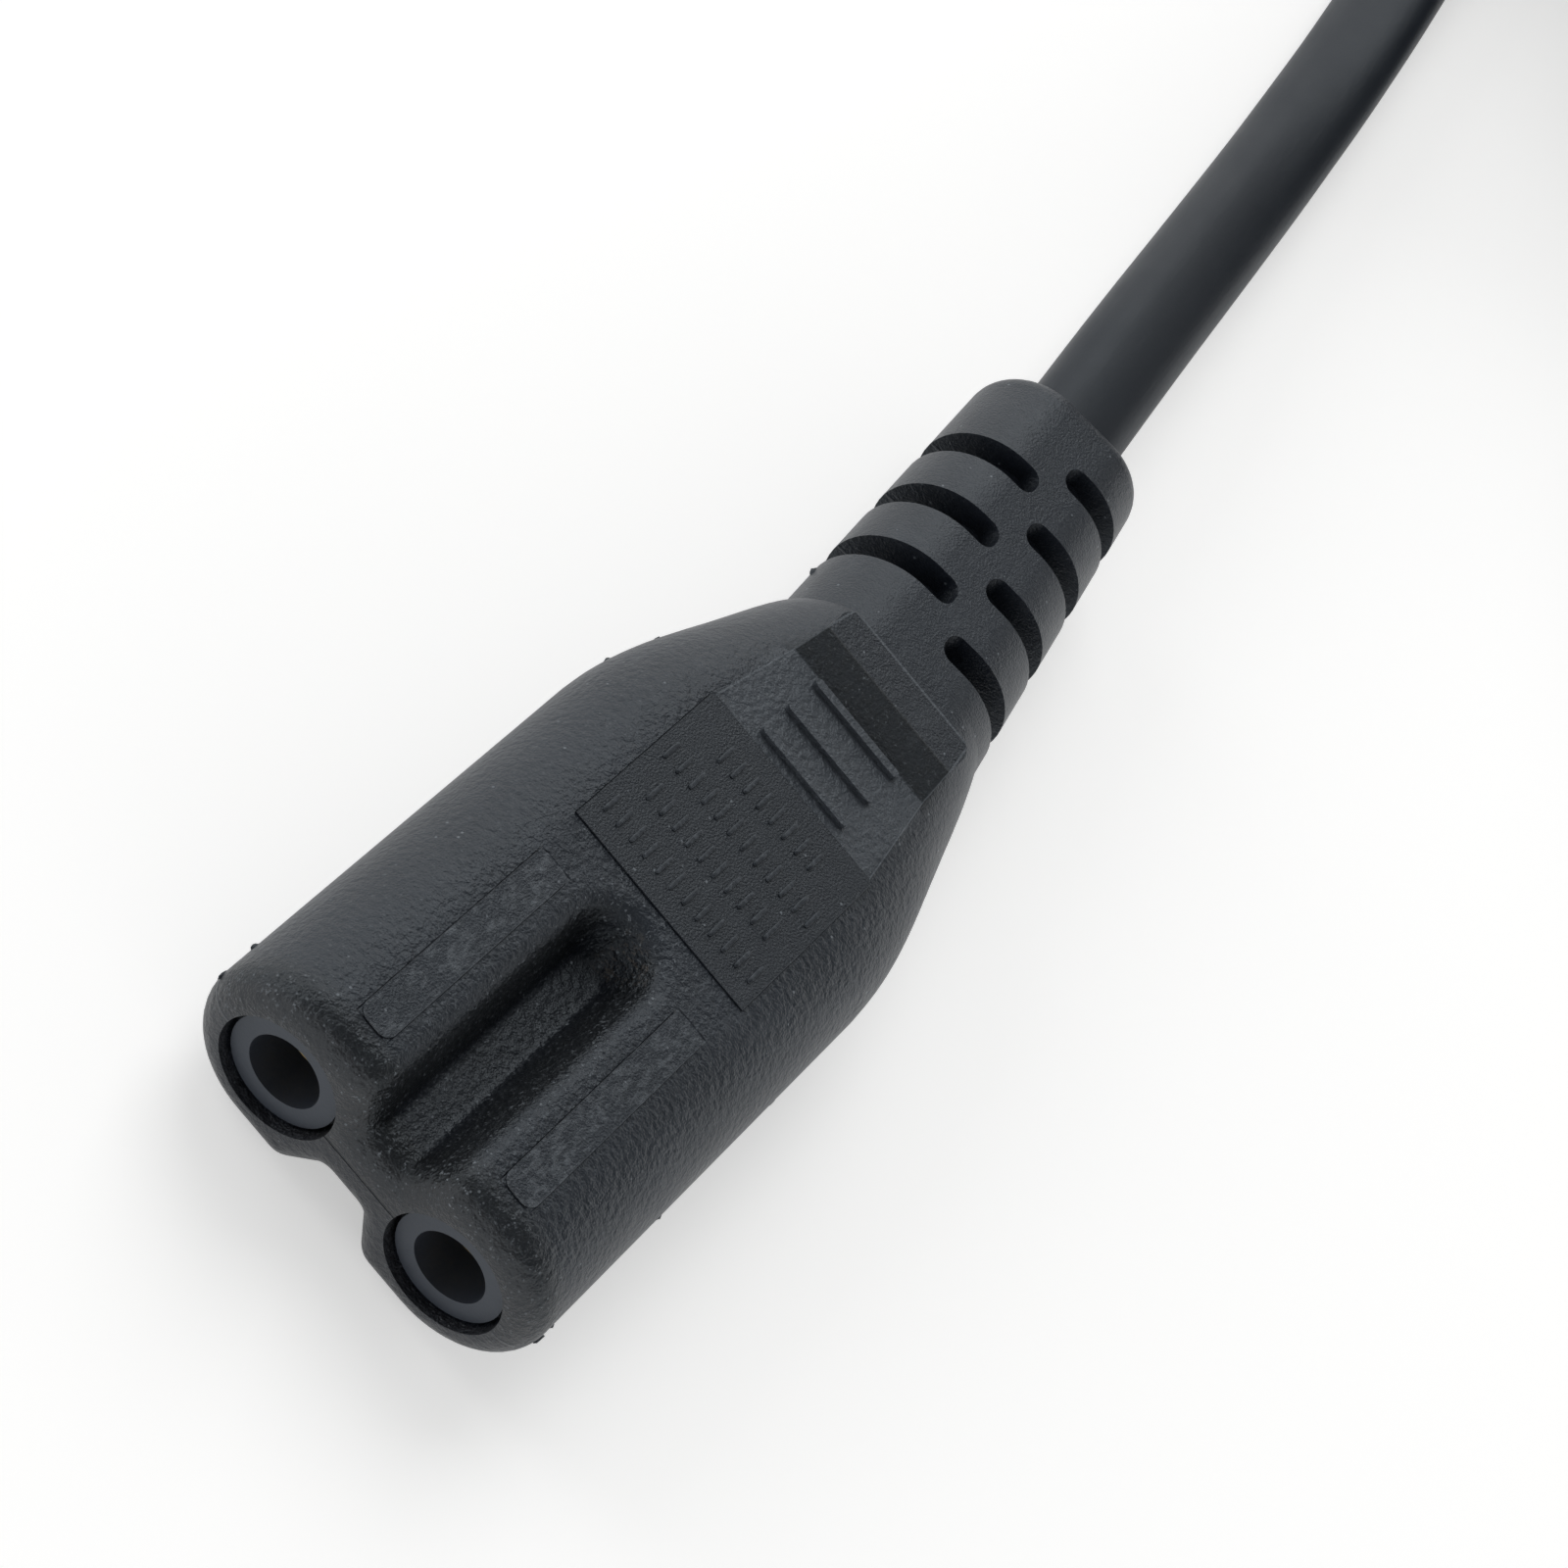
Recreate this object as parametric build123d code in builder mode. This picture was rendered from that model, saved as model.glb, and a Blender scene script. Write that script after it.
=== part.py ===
"""Two-core power lead: a figure-8 appliance connector, a flat cord and a flat two-pin plug.

Frame: millimetres, X across the connector, +Y from its mating face towards the cord, +Z up.
The origin is on the floor under the middle of the connector, which lies flat.
"""
from build123d import *
import math
import os

# Connector nose
contact_spacing = 8.6
lobe_radius = 3.83
front_y = -24.93
rim_round = 1.25
axis_z = lobe_radius

# Channels between the two lobes, cut from the top and from below
channel_length = 13.3
channel_mouth = 4.0
channel_floor = 1.6
channel_depth_top = 2.3
channel_depth_below = 1.95
channel_mouth_round = 0.9
channel_floor_round = 0.4

# Connector body, as depth behind the mating face, half width and half height
shoulder_depth = 20.4
flank_stations = [(23.1, 7.84, 3.68), (25.6, 7.2, 3.5), (28.0, 6.45, 3.36), (30.4, 5.7, 3.3)]

# Smooth pads on the lobes and the panel behind the channel
pad_inner_x = 2.93
pad_width = 1.5
pad_start = 1.6
pad_end = 12.0
pad_proud = 0.05
pad_corner = 0.5
panel_start = 14.1
panel_end = 22.65
panel_half_width = 4.55
panel_proud = 0.07

# Finger grip: a shallow scoop, three ribs and a ledge
grip_front_half_width = 4.4
grip_back_half_width = 3.55
grip_end = 30.5
grip_base = 1.0
grip_corner_round = 0.7
scoop_end = 27.4
ledge_start = 28.8
scoop_lip = 0.4
scoop_fall_front = 0.03
scoop_fall_back = 0.16
scoop_fall_below = 0.36
ledge_rise = 0.45
rib_depths = [23.4, 25.15, 27.0]
rib_length = 4.7
rib_width = 0.36
rib_height = 0.24

# Strain relief, the same on both ends but for its size
relief_turn = 7.85
relief_pivot_y = 6.17
relief_start = 1.0
relief_length = 17.5
relief_end_round = 1.0
relief_half_width = 5.0
relief_half_height = 3.3
relief_end_half_width = 4.05
relief_end_half_height = 2.9
slot_pitch = 3.9
slot_width = 1.4
slot_wall = 0.5
slot_spine = 0.7
slot_corner = 0.6
slot_first = 1.35
slot_count_right = 4
slot_count_left = 3

# Cord: a flat sheath over two cores
cord_width = 4.6
cord_thickness = 3.0
cord_grip_length = 16.0
core_spacing = 2.1
core_radius = 1.0
wire_radius = 0.55

# Contact carrier inside the nose, with two barrels and a bridge
insert_recess = 0.4
barrel_radius = 2.3
counterbore_radius = 2.5
counterbore_depth = 0.95
entry_radius = 1.5
entry_length = 2.0
carrier_depth = 12.4
bridge_start = 4.2
bridge_height = 1.8

# Rolled socket contacts
contact_outer_radius = 1.75
contact_inner_radius = 1.22
contact_flare = 0.25
contact_neck = 1.2
contact_slit = 0.4
contact_slit_length = 7.5
crimp_radius = 1.15
crimp_length = 4.0

# Route of the cord on the floor, from its straight exit to the hank
cord_exit_straight = 8.0
cord_route = [
    (-4.5, 41.0, 2.9),
    (-5.5, 50.2, 2.0),
    (-6.9, 59.9, 1.9),
    (-8.7, 69.7, 2.05),
    (-10.2, 79.7, 2.2),
    (-11.1, 90.2, 2.3),
    (-11.3, 100.8, 2.35),
]

# Route of the cord from its straight exit out of the plug down to the top of the hank
tail_exit_straight = 10.0
tail_route = [
    (9.3, 148.6, 19.1),
    (14.9, 156.2, 16.2),
    (18.8, 164.0, 13.2),
    (20.2, 172.5, 11.4),
]

# Folded hank of the cord that is put away
hank_x = 5.9
hank_y = 136.5
hank_side_half = 34.5
fold_inner_radius = 14.4
fold_step = 3.5
waist_inner_x = 1.75
waist_step = 3.2
hank_layers = 3
hank_edge_round = 1.2
eye_start = 9.0
tie_width = 5.0
tie_thickness = 0.7
tie_proud = 0.25
tie_corner = 1.3

# Plug with two round pins, lying on the near fold of the hank
plug_face_y = 83.3
plug_face_width = 35.9
plug_face_height = 13.7
plug_corner = 0.3
plug_corner_round = 0.14
plug_straight = 12.0
plug_stations = [(17.0, 16.6, 6.7), (21.5, 13.4, 6.0), (25.5, 9.0, 4.7), (29.0, 5.6, 3.6)]
plug_relief_start = 28.5
plug_face_round = 1.0
pin_spacing = 18.6
pin_tip_spacing = 17.5
pin_radius = 2.0
pin_tip_round = 1.7
pin_shank_radius = 1.5
pin_length = 19.0
pin_sleeve_length = 10.0
pin_sleeve_radius = 1.8
pin_sleeve_hold = 1.5
pin_hold = 9.0
pin_bore = 4.0
pin_bridge_start = 2.2
pin_bridge_end = 8.0
pin_bridge_width = 24.0
pin_bridge_height = 6.4
pin_bridge_round = 1.5

# Insulated cores between the cord and the metal
core_straight = 4.0
core_bend_radius = 5.0

# How far cutters reach past what they cut, and how near an edge must be to count as at a place
spare = 2.0
near = 0.01

side_names = {-1: "left", 1: "right"}


def cross_plane(depth):
    """Plane across the connector at a depth behind its mating face, local X across and local Y up."""
    return Plane(origin=(0, front_y + depth, axis_z), x_dir=(1, 0, 0), z_dir=(0, -1, 0))


def turned_plane(origin, turn, along):
    """Plane across an axis that starts at origin and is turned about Z, at a distance along it."""
    direction = Vector(-math.sin(math.radians(turn)), math.cos(math.radians(turn)), 0)
    across = Vector(direction.Y, -direction.X, 0)
    return Plane(origin=Vector(*origin) + direction * along, x_dir=across, z_dir=-direction)


def plan_plane(origin, turn):
    """Horizontal plane through an axis, with local Y along that axis."""
    across = Vector(math.cos(math.radians(turn)), math.sin(math.radians(turn)), 0)
    return Plane(origin=origin, x_dir=across, z_dir=(0, 0, 1))


def sheath_outline(margin=0.0):
    """Outline of the flat cord, or of a wall round it."""
    SlotCenterToCenter(cord_width - cord_thickness, cord_thickness + 2 * margin)


def slot_core(origin, turn, start):
    """What the relief slots leave standing: a thin wall round the cord."""
    with BuildPart() as core:
        with BuildSketch(turned_plane(origin, turn, start)):
            sheath_outline(slot_wall)
        extrude(amount=-relief_length)
    return core.part


def relief_slots(origin, turn, start):
    """Slots that open to the two sides in turn, half a pitch apart, with a spine between them."""
    reach = relief_half_width + spare
    places = []
    for number in range(slot_count_right):
        along = start + slot_first + slot_width / 2 + number * slot_pitch
        places.append(((slot_spine + reach) / 2, along))
    for number in range(slot_count_left):
        along = start + slot_first + slot_width / 2 + (number + 0.5) * slot_pitch
        places.append((-(slot_spine + reach) / 2, along))
    core = slot_core(origin, turn, start)
    with BuildPart() as slots:
        with BuildSketch(plan_plane(origin, turn)):
            with Locations(*places):
                RectangleRounded(reach, slot_width, slot_corner)
        extrude(amount=relief_half_height + spare, both=True)
        add(core, mode=Mode.SUBTRACT)
    return slots.part


def relief_body(origin, turn, start):
    """The tapering oval of a strain relief, with its far end rounded."""
    with BuildPart() as relief:
        with BuildSketch(turned_plane(origin, turn, start)):
            relief_outline(0)
        with BuildSketch(turned_plane(origin, turn, start + relief_length)):
            relief_outline(1)
        loft(ruled=True)
        fillet(relief.faces().sort_by(Axis.Y)[-1].edges(), relief_end_round)
    return relief.part


def channel(depth, side):
    """One channel between the lobes, with sloping walls and a rounded back end."""
    draft = math.degrees(math.atan((channel_mouth - channel_floor) / 2 / depth))
    length = channel_length + spare - channel_mouth / 2
    surface = Plane(
        origin=(0, front_y - spare + length / 2, axis_z + side * lobe_radius),
        x_dir=(0, 1, 0),
        z_dir=(0, 0, -side),
    )
    with BuildPart() as cutter:
        with BuildSketch(surface):
            SlotCenterToCenter(length, channel_mouth)
        extrude(amount=depth, taper=draft)
        fillet(cutter.faces().sort_by(Axis.Z)[0 if side > 0 else -1].edges(), channel_floor_round)
    return cutter.part


def grip_block(fall_front, fall_back, rise):
    """Finger grip with its scoop, ribs and ledge, standing up from the connector's axis."""
    scoop_start = panel_end + scoop_lip
    with BuildPart() as grip:
        with BuildSketch(Plane(origin=(0, front_y, axis_z), x_dir=(0, 1, 0), z_dir=(1, 0, 0))):
            with BuildLine():
                Polyline(
                    (shoulder_depth, grip_base),
                    (shoulder_depth, lobe_radius),
                    (panel_end, lobe_radius),
                    (scoop_start, lobe_radius - fall_front),
                    (scoop_end, lobe_radius - fall_back),
                    (ledge_start, lobe_radius + rise),
                    (grip_end, lobe_radius + rise),
                    (grip_end, grip_base),
                    close=True,
                )
            make_face()
        extrude(amount=panel_half_width, both=True)
        with BuildSketch(Plane(origin=(0, front_y, axis_z))):
            with BuildLine():
                Polyline(
                    (0, shoulder_depth),
                    (grip_front_half_width, shoulder_depth),
                    (grip_front_half_width, panel_end),
                    (grip_back_half_width, ledge_start),
                    (grip_back_half_width, grip_end),
                    (0, grip_end),
                )
                mirror(about=Plane.YZ)
            make_face()
        extrude(amount=lobe_radius + rise, mode=Mode.INTERSECT)
        fillet(grip.edges().filter_by(Axis.Z).group_by(Axis.Y)[-1], grip_corner_round)
        for depth in rib_depths:
            share = (depth - scoop_start) / (scoop_end - scoop_start)
            surface = lobe_radius - fall_front - share * (fall_back - fall_front)
            with BuildSketch(Plane(origin=(0, front_y + depth, axis_z + surface - rib_width))):
                SlotOverall(rib_length, rib_width)
            extrude(amount=rib_width + rib_height)
    return grip.part


def body_outline(half_width, half_height):
    """Oval outline of the connector's body."""
    SlotCenterToCenter(2 * (half_width - half_height), 2 * half_height)


def plug_outline(half_width, half_height):
    """Flattened hexagon of the plug's body, with rounded corners."""
    corner = plug_corner * 2 * half_height
    outline = Polygon(
        (half_width, 0),
        (half_width - corner, half_height),
        (corner - half_width, half_height),
        (-half_width, 0),
        (corner - half_width, -half_height),
        (half_width - corner, -half_height),
        align=None,
    )
    fillet(outline.vertices(), plug_corner_round * 2 * half_height)


def relief_outline(share):
    """Oval of a strain relief, from its start at 0 to its end at 1."""
    half_width = relief_half_width + share * (relief_end_half_width - relief_half_width)
    half_height = relief_half_height + share * (relief_end_half_height - relief_half_height)
    body_outline(half_width, half_height)


def bent_rod(points, bend_radius, outer_radius, inner_radius=0.0):
    """Round rod or sleeve along straight runs joined by arcs."""
    first = Vector(*points[0])
    direction = Vector(*points[1]) - first
    with BuildPart() as rod:
        with BuildLine() as path:
            FilletPolyline(*points, radius=bend_radius)
        with BuildSketch(Plane(origin=first, z_dir=direction)):
            Circle(outer_radius)
            if inner_radius:
                Circle(inner_radius, mode=Mode.SUBTRACT)
        sweep(path=path.line)
    return rod.part


def radii_of(points):
    """Radius for each corner: 0.45 of its shorter run over the tangent of half the turn."""
    radii = []
    for before, corner, after in zip(points, points[1:], points[2:]):
        arriving = Vector(*corner) - Vector(*before)
        leaving = Vector(*after) - Vector(*corner)
        turn = math.radians(arriving.get_angle(leaving))
        radii.append(0.45 * min(arriving.length, leaving.length) / math.tan(turn / 2))
    return radii


def cord_tube(label, points):
    """Flat sheath swept along straight runs joined by large arcs."""
    radii = radii_of(points)
    start = Vector(*points[0])
    direction = Vector(*points[1]) - start
    across = Vector(direction.Y, -direction.X, 0)
    with BuildPart() as tube:
        with BuildLine() as path:
            FilletPolyline(*points, radius=radii)
        with BuildSketch(Plane(origin=start, x_dir=across, z_dir=direction)):
            sheath_outline()
        sweep(path=path.line)
    section = cord_thickness * (cord_width - cord_thickness) + math.pi * (cord_thickness / 2) ** 2
    length = sum(edge.length for edge in path.edges())
    print(label, "radii", [round(radius, 1) for radius in radii])
    print(label, "volume", round(tube.part.volume, 1), "section by length", round(section * length, 1))
    return tube.part


def held_sheath(hold):
    """Straight end of the flat sheath inside a strain relief."""
    with BuildPart() as sheath:
        with BuildSketch(hold):
            sheath_outline()
        extrude(amount=-cord_grip_length)
    return sheath.part


def route_from(hold, straight, points):
    """Route of a cord: its exit from a strain relief, a straight stretch and the points after it."""
    exit_point = hold.origin - hold.z_dir * cord_grip_length
    return [exit_point, exit_point - hold.z_dir * straight] + points


def core_points(start, along, hold, side):
    """Route of one core, from the metal it is crimped in to the end of the sheath."""
    end = hold.from_local_coords((side * core_spacing / 2, 0, 0))
    return [start, start + along * core_straight, end + hold.z_dir * core_straight, end]


def core_sleeve(points):
    """Insulation of a core."""
    return bent_rod(points, core_bend_radius, core_radius, wire_radius)


def contact(x):
    """Rolled socket contact with its crimp barrel, turned about the axis of its entry."""
    mouth = contact_mouth
    back = carrier_depth
    with BuildPart() as piece:
        with BuildSketch(Plane(origin=(x, front_y, axis_z), x_dir=(1, 0, 0), z_dir=(0, 0, 1))):
            with BuildLine():
                Polyline(
                    (contact_inner_radius + contact_flare, mouth),
                    (contact_outer_radius, mouth),
                    (contact_outer_radius, back - contact_neck),
                    (crimp_radius, back),
                    (crimp_radius, crimp_end),
                    (wire_radius, crimp_end),
                    (wire_radius, back),
                    (contact_inner_radius, back - contact_neck),
                    (contact_inner_radius, mouth + contact_flare),
                    close=True,
                )
            make_face()
        revolve(axis=Axis((x, front_y, axis_z), (0, 1, 0)))
        with Locations((x, front_y + mouth, axis_z)):
            Box(
                contact_slit,
                contact_slit_length,
                contact_outer_radius,
                align=(Align.CENTER, Align.MIN, Align.MIN),
                mode=Mode.SUBTRACT,
            )
    return piece.part


def pin_plane(side):
    """Horizontal plane through a pin, with local Y along the pin into the plug."""
    lean = math.degrees(math.atan((pin_spacing - pin_tip_spacing) / 2 / pin_length))
    return plan_plane((hank_x + side * pin_spacing / 2, plug_face_y, plug_axis_z), -side * lean)


def pin_turned(side, outline):
    """A turned piece of a pin, from its outline of radius and distance along the pin."""
    plane = pin_plane(side)
    with BuildPart() as piece:
        with BuildSketch(plane):
            with BuildLine():
                Polyline(*outline, close=True)
            make_face()
        revolve(axis=Axis(plane.origin, plane.y_dir))
    return piece.part


def pin_envelope(side):
    """All of a pin and its sleeve, without any bore."""
    outline = [
        (0, -pin_length),
        (pin_sleeve_radius, -pin_length),
        (pin_sleeve_radius, pin_sleeve_hold),
        (pin_shank_radius, pin_sleeve_hold),
        (pin_shank_radius, pin_hold),
        (0, pin_hold),
    ]
    return pin_turned(side, outline)


hank_height = hank_layers * cord_width
plug_axis_z = hank_height + plug_face_height / 2
contact_mouth = insert_recess + entry_length
crimp_end = carrier_depth + crimp_length
relief_origin = (0, relief_pivot_y, axis_z)
relief_end = relief_start + relief_length
cord_hold = turned_plane(relief_origin, relief_turn, relief_end - cord_grip_length)
plug_relief_origin = (hank_x, plug_face_y, plug_axis_z)
plug_relief_end = plug_relief_start + relief_length
tail_hold = turned_plane(plug_relief_origin, 0, plug_relief_end - cord_grip_length)
os.makedirs("parts", exist_ok=True)

# Hank of the cord that is put away: a racetrack pinched at its middle, with two eyes
fold_outer_radius = fold_inner_radius + fold_step + cord_thickness / 2
fold_eye_radius = fold_inner_radius - cord_thickness / 2
waist_half = waist_inner_x + waist_step + cord_thickness / 2
with BuildPart() as hank_outer:
    with BuildSketch(Plane(origin=(hank_x, hank_y, 0))):
        with BuildLine():
            Spline((waist_half, 0), (fold_outer_radius, hank_side_half), tangents=((0, 1), (0, 1)))
            CenterArc((0, hank_side_half), fold_outer_radius, 0, 90)
            mirror(about=Plane.YZ)
            mirror(about=Plane.XZ)
        make_face()
    extrude(amount=hank_height)
    flat_faces = hank_outer.faces().filter_by(Axis.Z)
    fillet(flat_faces.edges(), hank_edge_round)
    with BuildSketch(Plane(origin=(hank_x, hank_y, 0))):
        with BuildLine():
            Spline((0, eye_start), (fold_eye_radius, hank_side_half), tangents=((1, 1), (0, 1)))
            CenterArc((0, hank_side_half), fold_eye_radius, 0, 90)
            mirror(about=Plane.YZ)
        make_face()
        mirror(about=Plane.XZ)
    extrude(amount=hank_height, mode=Mode.SUBTRACT)

with BuildPart() as hank_tie:
    with BuildSketch(Plane(origin=(hank_x, hank_y, 0), x_dir=(1, 0, 0), z_dir=(0, -1, 0))):
        with Locations((0, (hank_height + tie_proud) / 2)):
            RectangleRounded(2 * (waist_half + tie_proud), hank_height + tie_proud, tie_corner)
            offset(amount=-tie_thickness, mode=Mode.SUBTRACT)
    extrude(amount=tie_width / 2, both=True)
hank_tie.part.label = "hank_tie"
export_step(hank_tie.part, "parts/hank_tie.step")

with BuildPart() as cord_hank:
    add(hank_outer.part)
    with BuildSketch(Plane(origin=(hank_x, hank_y, 0), x_dir=(1, 0, 0), z_dir=(0, -1, 0))):
        Rectangle(2 * fold_outer_radius, 2 * (hank_height + spare))
        with Locations((0, (hank_height + tie_proud) / 2)):
            RectangleRounded(
                2 * (waist_half + tie_proud - tie_thickness),
                hank_height + tie_proud - 2 * tie_thickness,
                tie_corner - tie_thickness,
                mode=Mode.SUBTRACT,
            )
    extrude(amount=tie_width / 2, both=True, mode=Mode.SUBTRACT)
cord_hank.part.label = "cord_hank"
export_step(cord_hank.part, "parts/cord_hank.step")

# Cord from the connector to the hank, and from the hank to the plug
with BuildPart() as cord_run:
    add(held_sheath(cord_hold))
    add(cord_tube("cord_run", route_from(cord_hold, cord_exit_straight, cord_route)))
    add(hank_outer.part, mode=Mode.SUBTRACT)
cord_run.part.label = "cord_run"
export_step(cord_run.part, "parts/cord_run.step")

with BuildPart() as cord_tail:
    add(held_sheath(tail_hold))
    add(cord_tube("cord_tail", route_from(tail_hold, tail_exit_straight, tail_route)))
    add(hank_outer.part, mode=Mode.SUBTRACT)
cord_tail.part.label = "cord_tail"
export_step(cord_tail.part, "parts/cord_tail.step")

# Contact carrier: two barrels joined by a bridge, with an entry and a pocket for each contact
with BuildPart() as carrier_outer:
    for side in side_names:
        with BuildSketch(cross_plane(insert_recess)):
            with Locations((side * contact_spacing / 2, 0)):
                Circle(barrel_radius)
        extrude(amount=insert_recess - carrier_depth)
    with BuildSketch(cross_plane(bridge_start)):
        Rectangle(contact_spacing, bridge_height)
    extrude(amount=bridge_start - carrier_depth)

with BuildPart() as contact_carrier:
    add(carrier_outer.part)
    with BuildSketch(cross_plane(insert_recess)):
        with GridLocations(contact_spacing, 0, 2, 1):
            Circle(entry_radius)
    extrude(amount=-entry_length, mode=Mode.SUBTRACT)
    with BuildSketch(cross_plane(contact_mouth)):
        with GridLocations(contact_spacing, 0, 2, 1):
            Circle(contact_outer_radius)
    extrude(amount=contact_mouth - carrier_depth, mode=Mode.SUBTRACT)
contact_carrier.part.label = "contact_carrier"
export_step(contact_carrier.part, "parts/contact_carrier.step")

# Contacts and the cores that are crimped in them
connector_cores = {}
for side, side_name in side_names.items():
    x = side * contact_spacing / 2
    crimp_start = Vector(x, front_y + carrier_depth, axis_z)
    crimp_back = Vector(x, front_y + crimp_end, axis_z)
    points = core_points(crimp_back, Vector(0, 1, 0), cord_hold, side)
    connector_cores[side] = points
    socket = contact(x)
    socket.label = f"contact_{side_name}"
    export_step(socket, f"parts/contact_{side_name}.step")
    sleeve = core_sleeve(points)
    sleeve.label = f"connector_core_{side_name}"
    export_step(sleeve, f"parts/connector_core_{side_name}.step")
    wire = bent_rod([crimp_start] + points[1:], core_bend_radius, wire_radius)
    wire.label = f"connector_wire_{side_name}"
    export_step(wire, f"parts/connector_wire_{side_name}.step")

# Moulded housing of the connector, with its strain relief
with BuildPart() as connector_housing:
    with BuildSketch(cross_plane(0)):
        body_outline(contact_spacing / 2 + lobe_radius, lobe_radius)
    extrude(amount=-shoulder_depth)
    for side, depth in ((1, channel_depth_top), (-1, channel_depth_below)):
        add(channel(depth, side), mode=Mode.SUBTRACT)
    for level in (axis_z - lobe_radius, axis_z + lobe_radius):
        flat = connector_housing.edges().filter_by_position(Axis.Z, level - near, level + near)
        mouth = flat.filter_by(lambda edge: abs(edge.center().X) < channel_mouth / 2 + near)
        mouth = mouth.filter_by(lambda edge: edge.center().Y > front_y + near)
        mouth = mouth.filter_by(lambda edge: edge.center().Y < front_y + channel_length + near)
        fillet(mouth, channel_mouth_round)
    front_face = connector_housing.faces().sort_by(Axis.Y)[0]
    fillet(front_face.edges(), rim_round)
    with BuildSketch(cross_plane(shoulder_depth)):
        body_outline(contact_spacing / 2 + lobe_radius, lobe_radius)
    for depth, half_width, half_height in flank_stations:
        with BuildSketch(cross_plane(depth)):
            body_outline(half_width, half_height)
    with BuildSketch(turned_plane(relief_origin, relief_turn, relief_start)):
        relief_outline(0)
    loft()
    add(relief_body(relief_origin, relief_turn, relief_start))
    add(grip_block(scoop_fall_front, scoop_fall_back, ledge_rise))
    below = grip_block(scoop_fall_below, scoop_fall_below, 0)
    add(mirror(below, about=Plane(origin=(0, 0, axis_z)), mode=Mode.PRIVATE))
    with BuildSketch(Plane(origin=(0, front_y, axis_z))):
        with Locations((0, (panel_start + panel_end) / 2)):
            Rectangle(2 * panel_half_width, panel_end - panel_start)
    extrude(amount=lobe_radius + panel_proud)
    with BuildSketch(Plane(origin=(0, front_y, axis_z + lobe_radius - pad_width / 2))):
        with Locations((0, (pad_start + pad_end) / 2)):
            with GridLocations(2 * pad_inner_x + pad_width, 0, 2, 1):
                RectangleRounded(pad_width, pad_end - pad_start, pad_corner)
    extrude(amount=pad_width / 2 + pad_proud)
    add(relief_slots(relief_origin, relief_turn, relief_start), mode=Mode.SUBTRACT)
    with BuildSketch(cross_plane(0)):
        with GridLocations(contact_spacing, 0, 2, 1):
            Circle(counterbore_radius)
    extrude(amount=-counterbore_depth, mode=Mode.SUBTRACT)
    add(carrier_outer.part, mode=Mode.SUBTRACT)
    with BuildSketch(cross_plane(carrier_depth)):
        with GridLocations(contact_spacing, 0, 2, 1):
            Circle(crimp_radius)
    extrude(amount=-crimp_length, mode=Mode.SUBTRACT)
    for points in connector_cores.values():
        add(bent_rod(points, core_bend_radius, core_radius), mode=Mode.SUBTRACT)
    add(held_sheath(cord_hold), mode=Mode.SUBTRACT)
connector_housing.part.label = "connector_housing"
export_step(connector_housing.part, "parts/connector_housing.step")

# Plug pins with their sleeves, and the cores that run into them
plug_cores = {}
for side, side_name in side_names.items():
    plane = pin_plane(side)
    pin_back = plane.from_local_coords((0, pin_hold, 0))
    bore_start = plane.from_local_coords((0, pin_hold - pin_bore, 0))
    points = core_points(pin_back, plane.y_dir, tail_hold, side)
    plug_cores[side] = points
    pin_outline = [
        (0, -pin_length),
        (pin_radius, -pin_length),
        (pin_radius, -pin_sleeve_length),
        (pin_shank_radius, -pin_sleeve_length),
        (pin_shank_radius, pin_hold),
        (wire_radius, pin_hold),
        (wire_radius, pin_hold - pin_bore),
        (0, pin_hold - pin_bore),
    ]
    with BuildPart() as pin:
        add(pin_turned(side, pin_outline))
        fillet(pin.faces().sort_by(Axis.Y)[0].edges(), pin_tip_round)
    pin.part.label = f"pin_{side_name}"
    export_step(pin.part, f"parts/pin_{side_name}.step")
    sleeve_outline = [
        (pin_shank_radius, -pin_sleeve_length),
        (pin_sleeve_radius, -pin_sleeve_length),
        (pin_sleeve_radius, pin_sleeve_hold),
        (pin_shank_radius, pin_sleeve_hold),
    ]
    pin_sleeve = pin_turned(side, sleeve_outline)
    pin_sleeve.label = f"pin_sleeve_{side_name}"
    export_step(pin_sleeve, f"parts/pin_sleeve_{side_name}.step")
    sleeve = core_sleeve(points)
    sleeve.label = f"plug_core_{side_name}"
    export_step(sleeve, f"parts/plug_core_{side_name}.step")
    wire = bent_rod([bore_start] + points[1:], core_bend_radius, wire_radius)
    wire.label = f"plug_wire_{side_name}"
    export_step(wire, f"parts/plug_wire_{side_name}.step")

with BuildPart() as bridge_outer:
    with BuildSketch(turned_plane(plug_relief_origin, 0, pin_bridge_start)):
        RectangleRounded(pin_bridge_width, pin_bridge_height, pin_bridge_round)
    extrude(amount=pin_bridge_start - pin_bridge_end)

with BuildPart() as pin_bridge:
    add(bridge_outer.part)
    for side in side_names:
        add(pin_envelope(side), mode=Mode.SUBTRACT)
pin_bridge.part.label = "pin_bridge"
export_step(pin_bridge.part, "parts/pin_bridge.step")

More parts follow.
